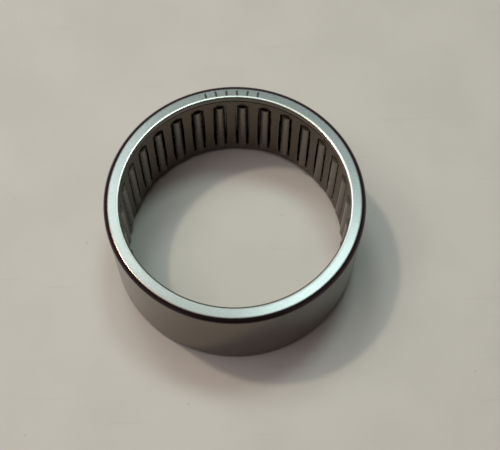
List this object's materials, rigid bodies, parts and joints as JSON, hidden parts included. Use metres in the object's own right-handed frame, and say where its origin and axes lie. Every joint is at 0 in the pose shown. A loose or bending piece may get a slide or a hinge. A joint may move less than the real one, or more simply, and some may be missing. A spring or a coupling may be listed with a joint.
{
  "type": "drawn cup needle roller bearing",
  "caption": "Drawn cup needle roller bearing with open ends: a thin steel ring holds a caged row of needle rollers that carries a rotating shaft.",
  "frame": {"origin": "centre of the bearing's rolled-in end face, on the bearing's axis", "axes": "+Z along the bearing's axis, towards the flat pressing end; needle 01 stands on +X"},
  "size_m": [0.058, 0.058, 0.025],
  "materials": {
    "cup_steel": "bare case-hardened strip steel, tumbled satin, faintly mottled on the end face, ground outside",
    "cage_steel": "pressed strip steel, dark and dull under an oil film",
    "needle_steel": "ground and lapped bearing steel under an oil film"
  },
  "bodies": {
    "cup": {"drawn_cup": "cup_steel"},
    "cage": {"cage": "cage_steel"},
    "needle_01": {"needle_roller_01": "needle_steel"},
    "needle_02": {"needle_roller_02": "needle_steel"},
    "needle_03": {"needle_roller_03": "needle_steel"},
    "needle_04": {"needle_roller_04": "needle_steel"},
    "needle_05": {"needle_roller_05": "needle_steel"},
    "needle_06": {"needle_roller_06": "needle_steel"},
    "needle_07": {"needle_roller_07": "needle_steel"},
    "needle_08": {"needle_roller_08": "needle_steel"},
    "needle_09": {"needle_roller_09": "needle_steel"},
    "needle_10": {"needle_roller_10": "needle_steel"},
    "needle_11": {"needle_roller_11": "needle_steel"},
    "needle_12": {"needle_roller_12": "needle_steel"},
    "needle_13": {"needle_roller_13": "needle_steel"},
    "needle_14": {"needle_roller_14": "needle_steel"},
    "needle_15": {"needle_roller_15": "needle_steel"},
    "needle_16": {"needle_roller_16": "needle_steel"},
    "needle_17": {"needle_roller_17": "needle_steel"},
    "needle_18": {"needle_roller_18": "needle_steel"},
    "needle_19": {"needle_roller_19": "needle_steel"},
    "needle_20": {"needle_roller_20": "needle_steel"},
    "needle_21": {"needle_roller_21": "needle_steel"},
    "needle_22": {"needle_roller_22": "needle_steel"},
    "needle_23": {"needle_roller_23": "needle_steel"},
    "needle_24": {"needle_roller_24": "needle_steel"},
    "needle_25": {"needle_roller_25": "needle_steel"},
    "needle_26": {"needle_roller_26": "needle_steel"},
    "needle_27": {"needle_roller_27": "needle_steel"},
    "needle_28": {"needle_roller_28": "needle_steel"},
    "needle_29": {"needle_roller_29": "needle_steel"},
    "needle_30": {"needle_roller_30": "needle_steel"}
  },
  "joints": [
    {"name": "cage_spin", "type": "hinge", "parent": "cup", "child": "cage", "pos_m": [0, 0, 0.01235], "axis": [0, 0, 1], "continuous": true},
    {"name": "needle_01_roll", "type": "hinge", "parent": "cage", "child": "needle_01", "pos_m": [0.02622, 0, 0.01235], "axis": [0, 0, 1], "continuous": true},
    {"name": "needle_02_roll", "type": "hinge", "parent": "cage", "child": "needle_02", "pos_m": [0.02565, 0.00545, 0.01235], "axis": [0, 0, 1], "continuous": true},
    {"name": "needle_03_roll", "type": "hinge", "parent": "cage", "child": "needle_03", "pos_m": [0.02395, 0.01066, 0.01235], "axis": [0, 0, 1], "continuous": true},
    {"name": "needle_04_roll", "type": "hinge", "parent": "cage", "child": "needle_04", "pos_m": [0.02121, 0.01541, 0.01235], "axis": [0, 0, 1], "continuous": true},
    {"name": "needle_05_roll", "type": "hinge", "parent": "cage", "child": "needle_05", "pos_m": [0.01754, 0.01949, 0.01235], "axis": [0, 0, 1], "continuous": true},
    {"name": "needle_06_roll", "type": "hinge", "parent": "cage", "child": "needle_06", "pos_m": [0.01311, 0.02271, 0.01235], "axis": [0, 0, 1], "continuous": true},
    {"name": "needle_07_roll", "type": "hinge", "parent": "cage", "child": "needle_07", "pos_m": [0.0081, 0.02494, 0.01235], "axis": [0, 0, 1], "continuous": true},
    {"name": "needle_08_roll", "type": "hinge", "parent": "cage", "child": "needle_08", "pos_m": [0.00274, 0.02608, 0.01235], "axis": [0, 0, 1], "continuous": true},
    {"name": "needle_09_roll", "type": "hinge", "parent": "cage", "child": "needle_09", "pos_m": [-0.00274, 0.02608, 0.01235], "axis": [0, 0, 1], "continuous": true},
    {"name": "needle_10_roll", "type": "hinge", "parent": "cage", "child": "needle_10", "pos_m": [-0.0081, 0.02494, 0.01235], "axis": [0, 0, 1], "continuous": true},
    {"name": "needle_11_roll", "type": "hinge", "parent": "cage", "child": "needle_11", "pos_m": [-0.01311, 0.02271, 0.01235], "axis": [0, 0, 1], "continuous": true},
    {"name": "needle_12_roll", "type": "hinge", "parent": "cage", "child": "needle_12", "pos_m": [-0.01754, 0.01949, 0.01235], "axis": [0, 0, 1], "continuous": true},
    {"name": "needle_13_roll", "type": "hinge", "parent": "cage", "child": "needle_13", "pos_m": [-0.02121, 0.01541, 0.01235], "axis": [0, 0, 1], "continuous": true},
    {"name": "needle_14_roll", "type": "hinge", "parent": "cage", "child": "needle_14", "pos_m": [-0.02395, 0.01066, 0.01235], "axis": [0, 0, 1], "continuous": true},
    {"name": "needle_15_roll", "type": "hinge", "parent": "cage", "child": "needle_15", "pos_m": [-0.02565, 0.00545, 0.01235], "axis": [0, 0, 1], "continuous": true},
    {"name": "needle_16_roll", "type": "hinge", "parent": "cage", "child": "needle_16", "pos_m": [-0.02622, 0, 0.01235], "axis": [0, 0, 1], "continuous": true},
    {"name": "needle_17_roll", "type": "hinge", "parent": "cage", "child": "needle_17", "pos_m": [-0.02565, -0.00545, 0.01235], "axis": [0, 0, 1], "continuous": true},
    {"name": "needle_18_roll", "type": "hinge", "parent": "cage", "child": "needle_18", "pos_m": [-0.02395, -0.01066, 0.01235], "axis": [0, 0, 1], "continuous": true},
    {"name": "needle_19_roll", "type": "hinge", "parent": "cage", "child": "needle_19", "pos_m": [-0.02121, -0.01541, 0.01235], "axis": [0, 0, 1], "continuous": true},
    {"name": "needle_20_roll", "type": "hinge", "parent": "cage", "child": "needle_20", "pos_m": [-0.01754, -0.01949, 0.01235], "axis": [0, 0, 1], "continuous": true},
    {"name": "needle_21_roll", "type": "hinge", "parent": "cage", "child": "needle_21", "pos_m": [-0.01311, -0.02271, 0.01235], "axis": [0, 0, 1], "continuous": true},
    {"name": "needle_22_roll", "type": "hinge", "parent": "cage", "child": "needle_22", "pos_m": [-0.0081, -0.02494, 0.01235], "axis": [0, 0, 1], "continuous": true},
    {"name": "needle_23_roll", "type": "hinge", "parent": "cage", "child": "needle_23", "pos_m": [-0.00274, -0.02608, 0.01235], "axis": [0, 0, 1], "continuous": true},
    {"name": "needle_24_roll", "type": "hinge", "parent": "cage", "child": "needle_24", "pos_m": [0.00274, -0.02608, 0.01235], "axis": [0, 0, 1], "continuous": true},
    {"name": "needle_25_roll", "type": "hinge", "parent": "cage", "child": "needle_25", "pos_m": [0.0081, -0.02494, 0.01235], "axis": [0, 0, 1], "continuous": true},
    {"name": "needle_26_roll", "type": "hinge", "parent": "cage", "child": "needle_26", "pos_m": [0.01311, -0.02271, 0.01235], "axis": [0, 0, 1], "continuous": true},
    {"name": "needle_27_roll", "type": "hinge", "parent": "cage", "child": "needle_27", "pos_m": [0.01754, -0.01949, 0.01235], "axis": [0, 0, 1], "continuous": true},
    {"name": "needle_28_roll", "type": "hinge", "parent": "cage", "child": "needle_28", "pos_m": [0.02121, -0.01541, 0.01235], "axis": [0, 0, 1], "continuous": true},
    {"name": "needle_29_roll", "type": "hinge", "parent": "cage", "child": "needle_29", "pos_m": [0.02395, -0.01066, 0.01235], "axis": [0, 0, 1], "continuous": true},
    {"name": "needle_30_roll", "type": "hinge", "parent": "cage", "child": "needle_30", "pos_m": [0.02565, -0.00545, 0.01235], "axis": [0, 0, 1], "continuous": true}
  ],
  "couplings": [
    {"joint": "needle_01_roll", "follows": "cage_spin", "ratio": -22},
    {"joint": "needle_02_roll", "follows": "cage_spin", "ratio": -22},
    {"joint": "needle_03_roll", "follows": "cage_spin", "ratio": -22},
    {"joint": "needle_04_roll", "follows": "cage_spin", "ratio": -22},
    {"joint": "needle_05_roll", "follows": "cage_spin", "ratio": -22},
    {"joint": "needle_06_roll", "follows": "cage_spin", "ratio": -22},
    {"joint": "needle_07_roll", "follows": "cage_spin", "ratio": -22},
    {"joint": "needle_08_roll", "follows": "cage_spin", "ratio": -22},
    {"joint": "needle_09_roll", "follows": "cage_spin", "ratio": -22},
    {"joint": "needle_10_roll", "follows": "cage_spin", "ratio": -22},
    {"joint": "needle_11_roll", "follows": "cage_spin", "ratio": -22},
    {"joint": "needle_12_roll", "follows": "cage_spin", "ratio": -22},
    {"joint": "needle_13_roll", "follows": "cage_spin", "ratio": -22},
    {"joint": "needle_14_roll", "follows": "cage_spin", "ratio": -22},
    {"joint": "needle_15_roll", "follows": "cage_spin", "ratio": -22},
    {"joint": "needle_16_roll", "follows": "cage_spin", "ratio": -22},
    {"joint": "needle_17_roll", "follows": "cage_spin", "ratio": -22},
    {"joint": "needle_18_roll", "follows": "cage_spin", "ratio": -22},
    {"joint": "needle_19_roll", "follows": "cage_spin", "ratio": -22},
    {"joint": "needle_20_roll", "follows": "cage_spin", "ratio": -22},
    {"joint": "needle_21_roll", "follows": "cage_spin", "ratio": -22},
    {"joint": "needle_22_roll", "follows": "cage_spin", "ratio": -22},
    {"joint": "needle_23_roll", "follows": "cage_spin", "ratio": -22},
    {"joint": "needle_24_roll", "follows": "cage_spin", "ratio": -22},
    {"joint": "needle_25_roll", "follows": "cage_spin", "ratio": -22},
    {"joint": "needle_26_roll", "follows": "cage_spin", "ratio": -22},
    {"joint": "needle_27_roll", "follows": "cage_spin", "ratio": -22},
    {"joint": "needle_28_roll", "follows": "cage_spin", "ratio": -22},
    {"joint": "needle_29_roll", "follows": "cage_spin", "ratio": -22},
    {"joint": "needle_30_roll", "follows": "cage_spin", "ratio": -22}
  ]
}
